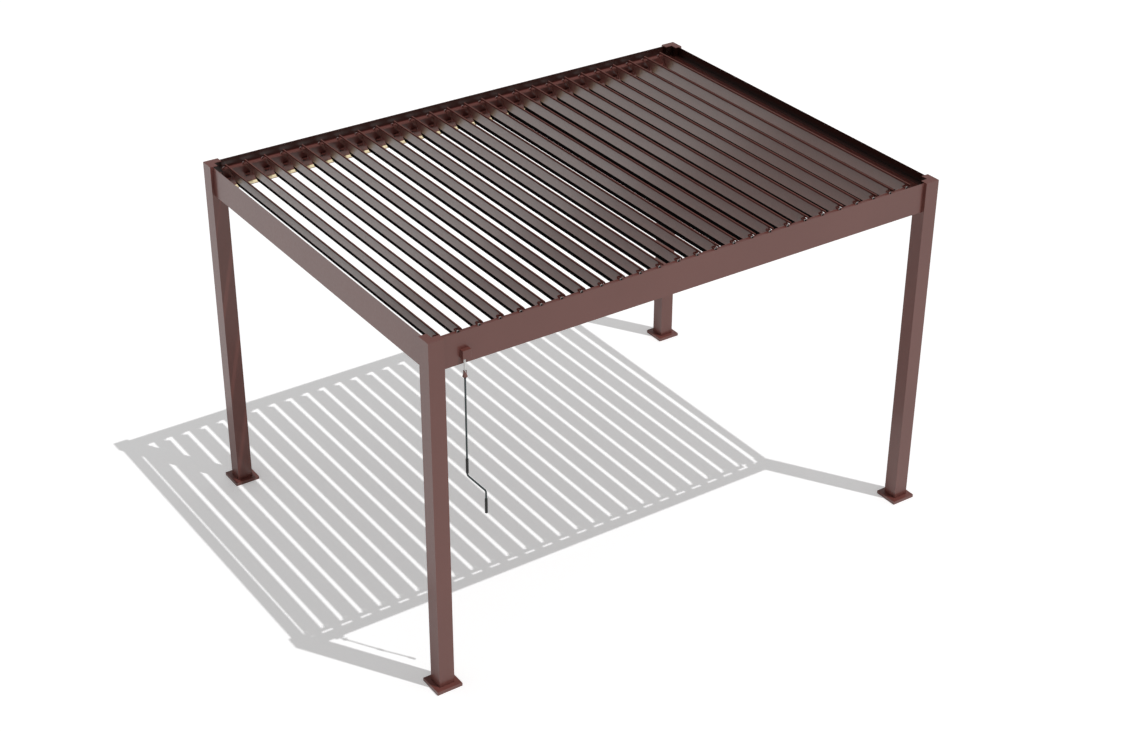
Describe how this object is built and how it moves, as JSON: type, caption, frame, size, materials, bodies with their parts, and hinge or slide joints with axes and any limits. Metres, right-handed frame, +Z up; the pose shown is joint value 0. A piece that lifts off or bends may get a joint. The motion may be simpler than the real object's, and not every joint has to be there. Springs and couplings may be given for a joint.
{
  "type": "louvered pergola",
  "caption": "Free-standing pergola on four square posts, with hollow beams and a roof of turning louvers that a hanging crank opens and closes.",
  "frame": {"origin": "on the ground, in the middle of the part's outline in plan", "axes": "+Z up, +X along the long beams to the right, -Y towards the front, where the crank hangs"},
  "size_m": [4.075, 3.14, 2.57],
  "materials": {
    "brown_paint": "satin",
    "foot_paint": "satin",
    "light_cover": "satin",
    "bearing_alloy": "satin",
    "gear_housing": "satin",
    "white_plastic": "gloss",
    "coupler_metal": "satin",
    "rod_metal": "satin",
    "grip_plastic": "matt"
  },
  "bodies": {
    "frame": {"post_front_left": "brown_paint", "post_front_right": "brown_paint", "post_back_left": "brown_paint", "post_back_right": "brown_paint", "post_cap_front_left": "foot_paint", "post_cap_front_right": "foot_paint", "post_cap_back_left": "foot_paint", "post_cap_back_right": "foot_paint", "foot_front_left": "foot_paint", "foot_front_right": "foot_paint", "foot_back_left": "foot_paint", "foot_back_right": "foot_paint", "foot_cover_front_left": "foot_paint", "foot_cover_front_right": "foot_paint", "foot_cover_back_left": "foot_paint", "foot_cover_back_right": "foot_paint", "beam_front": "brown_paint", "beam_back": "brown_paint", "beam_left": "brown_paint", "beam_right": "brown_paint", "light_strip_front": "light_cover", "light_strip_back": "light_cover", "bearings_front": "bearing_alloy", "bearings_back": "bearing_alloy", "gearbox": "gear_housing"},
    "louver_01": {"louver_01": "brown_paint"},
    "louver_02": {"louver_02": "brown_paint"},
    "louver_03": {"louver_03": "brown_paint"},
    "louver_04": {"louver_04": "brown_paint"},
    "louver_05": {"louver_05": "brown_paint"},
    "louver_06": {"louver_06": "brown_paint"},
    "louver_07": {"louver_07": "brown_paint"},
    "louver_08": {"louver_08": "brown_paint"},
    "louver_09": {"louver_09": "brown_paint"},
    "louver_10": {"louver_10": "brown_paint"},
    "louver_11": {"louver_11": "brown_paint"},
    "louver_12": {"louver_12": "brown_paint"},
    "louver_13": {"louver_13": "brown_paint"},
    "louver_14": {"louver_14": "brown_paint"},
    "louver_15": {"louver_15": "brown_paint"},
    "louver_16": {"louver_16": "brown_paint"},
    "louver_17": {"louver_17": "brown_paint"},
    "louver_18": {"louver_18": "brown_paint"},
    "louver_19": {"louver_19": "brown_paint"},
    "louver_20": {"louver_20": "brown_paint"},
    "louver_21": {"louver_21": "brown_paint"},
    "louver_22": {"louver_22": "brown_paint"},
    "louver_23": {"louver_23": "brown_paint"},
    "louver_24": {"louver_24": "brown_paint"},
    "louver_25": {"louver_25": "brown_paint"},
    "louver_26": {"louver_26": "brown_paint"},
    "link_bars": {"link_bar_front": "brown_paint", "link_bar_back": "brown_paint"},
    "gear_eye": {"gear_eye": "white_plastic"},
    "crank_coupler": {"crank_coupler": "coupler_metal"},
    "crank": {"crank_rod": "rod_metal", "crank_grips": "grip_plastic"}
  },
  "joints": [
    {"name": "louver_01_turn", "type": "hinge", "parent": "frame", "child": "louver_01", "pos_m": [-1.84125, 0.0325, 2.4755], "axis": [0, 1, 0], "range_deg": [-60, 30]},
    {"name": "louver_02_turn", "type": "hinge", "parent": "frame", "child": "louver_02", "pos_m": [-1.69395, 0.0325, 2.4755], "axis": [0, 1, 0], "range_deg": [-60, 30]},
    {"name": "louver_03_turn", "type": "hinge", "parent": "frame", "child": "louver_03", "pos_m": [-1.54665, 0.0325, 2.4755], "axis": [0, 1, 0], "range_deg": [-60, 30]},
    {"name": "louver_04_turn", "type": "hinge", "parent": "frame", "child": "louver_04", "pos_m": [-1.39935, 0.0325, 2.4755], "axis": [0, 1, 0], "range_deg": [-60, 30]},
    {"name": "louver_05_turn", "type": "hinge", "parent": "frame", "child": "louver_05", "pos_m": [-1.25205, 0.0325, 2.4755], "axis": [0, 1, 0], "range_deg": [-60, 30]},
    {"name": "louver_06_turn", "type": "hinge", "parent": "frame", "child": "louver_06", "pos_m": [-1.10475, 0.0325, 2.4755], "axis": [0, 1, 0], "range_deg": [-60, 30]},
    {"name": "louver_07_turn", "type": "hinge", "parent": "frame", "child": "louver_07", "pos_m": [-0.95745, 0.0325, 2.4755], "axis": [0, 1, 0], "range_deg": [-60, 30]},
    {"name": "louver_08_turn", "type": "hinge", "parent": "frame", "child": "louver_08", "pos_m": [-0.81015, 0.0325, 2.4755], "axis": [0, 1, 0], "range_deg": [-60, 30]},
    {"name": "louver_09_turn", "type": "hinge", "parent": "frame", "child": "louver_09", "pos_m": [-0.66285, 0.0325, 2.4755], "axis": [0, 1, 0], "range_deg": [-60, 30]},
    {"name": "louver_10_turn", "type": "hinge", "parent": "frame", "child": "louver_10", "pos_m": [-0.51555, 0.0325, 2.4755], "axis": [0, 1, 0], "range_deg": [-60, 30]},
    {"name": "louver_11_turn", "type": "hinge", "parent": "frame", "child": "louver_11", "pos_m": [-0.36825, 0.0325, 2.4755], "axis": [0, 1, 0], "range_deg": [-60, 30]},
    {"name": "louver_12_turn", "type": "hinge", "parent": "frame", "child": "louver_12", "pos_m": [-0.22095, 0.0325, 2.4755], "axis": [0, 1, 0], "range_deg": [-60, 30]},
    {"name": "louver_13_turn", "type": "hinge", "parent": "frame", "child": "louver_13", "pos_m": [-0.07365, 0.0325, 2.4755], "axis": [0, 1, 0], "range_deg": [-60, 30]},
    {"name": "louver_14_turn", "type": "hinge", "parent": "frame", "child": "louver_14", "pos_m": [0.07365, 0.0325, 2.4755], "axis": [0, 1, 0], "range_deg": [-60, 30]},
    {"name": "louver_15_turn", "type": "hinge", "parent": "frame", "child": "louver_15", "pos_m": [0.22095, 0.0325, 2.4755], "axis": [0, 1, 0], "range_deg": [-60, 30]},
    {"name": "louver_16_turn", "type": "hinge", "parent": "frame", "child": "louver_16", "pos_m": [0.36825, 0.0325, 2.4755], "axis": [0, 1, 0], "range_deg": [-60, 30]},
    {"name": "louver_17_turn", "type": "hinge", "parent": "frame", "child": "louver_17", "pos_m": [0.51555, 0.0325, 2.4755], "axis": [0, 1, 0], "range_deg": [-60, 30]},
    {"name": "louver_18_turn", "type": "hinge", "parent": "frame", "child": "louver_18", "pos_m": [0.66285, 0.0325, 2.4755], "axis": [0, 1, 0], "range_deg": [-60, 30]},
    {"name": "louver_19_turn", "type": "hinge", "parent": "frame", "child": "louver_19", "pos_m": [0.81015, 0.0325, 2.4755], "axis": [0, 1, 0], "range_deg": [-60, 30]},
    {"name": "louver_20_turn", "type": "hinge", "parent": "frame", "child": "louver_20", "pos_m": [0.95745, 0.0325, 2.4755], "axis": [0, 1, 0], "range_deg": [-60, 30]},
    {"name": "louver_21_turn", "type": "hinge", "parent": "frame", "child": "louver_21", "pos_m": [1.10475, 0.0325, 2.4755], "axis": [0, 1, 0], "range_deg": [-60, 30]},
    {"name": "louver_22_turn", "type": "hinge", "parent": "frame", "child": "louver_22", "pos_m": [1.25205, 0.0325, 2.4755], "axis": [0, 1, 0], "range_deg": [-60, 30]},
    {"name": "louver_23_turn", "type": "hinge", "parent": "frame", "child": "louver_23", "pos_m": [1.39935, 0.0325, 2.4755], "axis": [0, 1, 0], "range_deg": [-60, 30]},
    {"name": "louver_24_turn", "type": "hinge", "parent": "frame", "child": "louver_24", "pos_m": [1.54665, 0.0325, 2.4755], "axis": [0, 1, 0], "range_deg": [-60, 30]},
    {"name": "louver_25_turn", "type": "hinge", "parent": "frame", "child": "louver_25", "pos_m": [1.69395, 0.0325, 2.4755], "axis": [0, 1, 0], "range_deg": [-60, 30]},
    {"name": "louver_26_turn", "type": "hinge", "parent": "frame", "child": "louver_26", "pos_m": [1.84125, 0.0325, 2.4755], "axis": [0, 1, 0], "range_deg": [-60, 30]},
    {"name": "link_bars_pin", "type": "hinge", "parent": "louver_01", "child": "link_bars", "pos_m": [-1.88992, 0.0325, 2.52998], "axis": [0, 1, 0], "range_deg": [-30, 60]},
    {"name": "gear_eye_turn", "type": "hinge", "parent": "frame", "child": "gear_eye", "pos_m": [-1.752, -1.4625, 2.297], "axis": [0, 0, 1], "range_deg": [-2400, 1200]},
    {"name": "crank_swing", "type": "hinge", "parent": "frame", "child": "crank_coupler", "pos_m": [-1.752, -1.4625, 2.297], "axis": [-1, 0, 0], "range_deg": [0, 45]},
    {"name": "crank_turn", "type": "hinge", "parent": "crank_coupler", "child": "crank", "pos_m": [-1.752, -1.4625, 2.297], "axis": [0, 0, 1], "range_deg": [-2400, 1200]}
  ],
  "couplings": [
    {"joint": "louver_02_turn", "follows": "louver_01_turn", "ratio": 1},
    {"joint": "louver_03_turn", "follows": "louver_01_turn", "ratio": 1},
    {"joint": "louver_04_turn", "follows": "louver_01_turn", "ratio": 1},
    {"joint": "louver_05_turn", "follows": "louver_01_turn", "ratio": 1},
    {"joint": "louver_06_turn", "follows": "louver_01_turn", "ratio": 1},
    {"joint": "louver_07_turn", "follows": "louver_01_turn", "ratio": 1},
    {"joint": "louver_08_turn", "follows": "louver_01_turn", "ratio": 1},
    {"joint": "louver_09_turn", "follows": "louver_01_turn", "ratio": 1},
    {"joint": "louver_10_turn", "follows": "louver_01_turn", "ratio": 1},
    {"joint": "louver_11_turn", "follows": "louver_01_turn", "ratio": 1},
    {"joint": "louver_12_turn", "follows": "louver_01_turn", "ratio": 1},
    {"joint": "louver_13_turn", "follows": "louver_01_turn", "ratio": 1},
    {"joint": "louver_14_turn", "follows": "louver_01_turn", "ratio": 1},
    {"joint": "louver_15_turn", "follows": "louver_01_turn", "ratio": 1},
    {"joint": "louver_16_turn", "follows": "louver_01_turn", "ratio": 1},
    {"joint": "louver_17_turn", "follows": "louver_01_turn", "ratio": 1},
    {"joint": "louver_18_turn", "follows": "louver_01_turn", "ratio": 1},
    {"joint": "louver_19_turn", "follows": "louver_01_turn", "ratio": 1},
    {"joint": "louver_20_turn", "follows": "louver_01_turn", "ratio": 1},
    {"joint": "louver_21_turn", "follows": "louver_01_turn", "ratio": 1},
    {"joint": "louver_22_turn", "follows": "louver_01_turn", "ratio": 1},
    {"joint": "louver_23_turn", "follows": "louver_01_turn", "ratio": 1},
    {"joint": "louver_24_turn", "follows": "louver_01_turn", "ratio": 1},
    {"joint": "louver_25_turn", "follows": "louver_01_turn", "ratio": 1},
    {"joint": "louver_26_turn", "follows": "louver_01_turn", "ratio": 1},
    {"joint": "link_bars_pin", "follows": "louver_01_turn", "ratio": -1},
    {"joint": "gear_eye_turn", "follows": "louver_01_turn", "ratio": 40},
    {"joint": "crank_turn", "follows": "louver_01_turn", "ratio": 40}
  ]
}
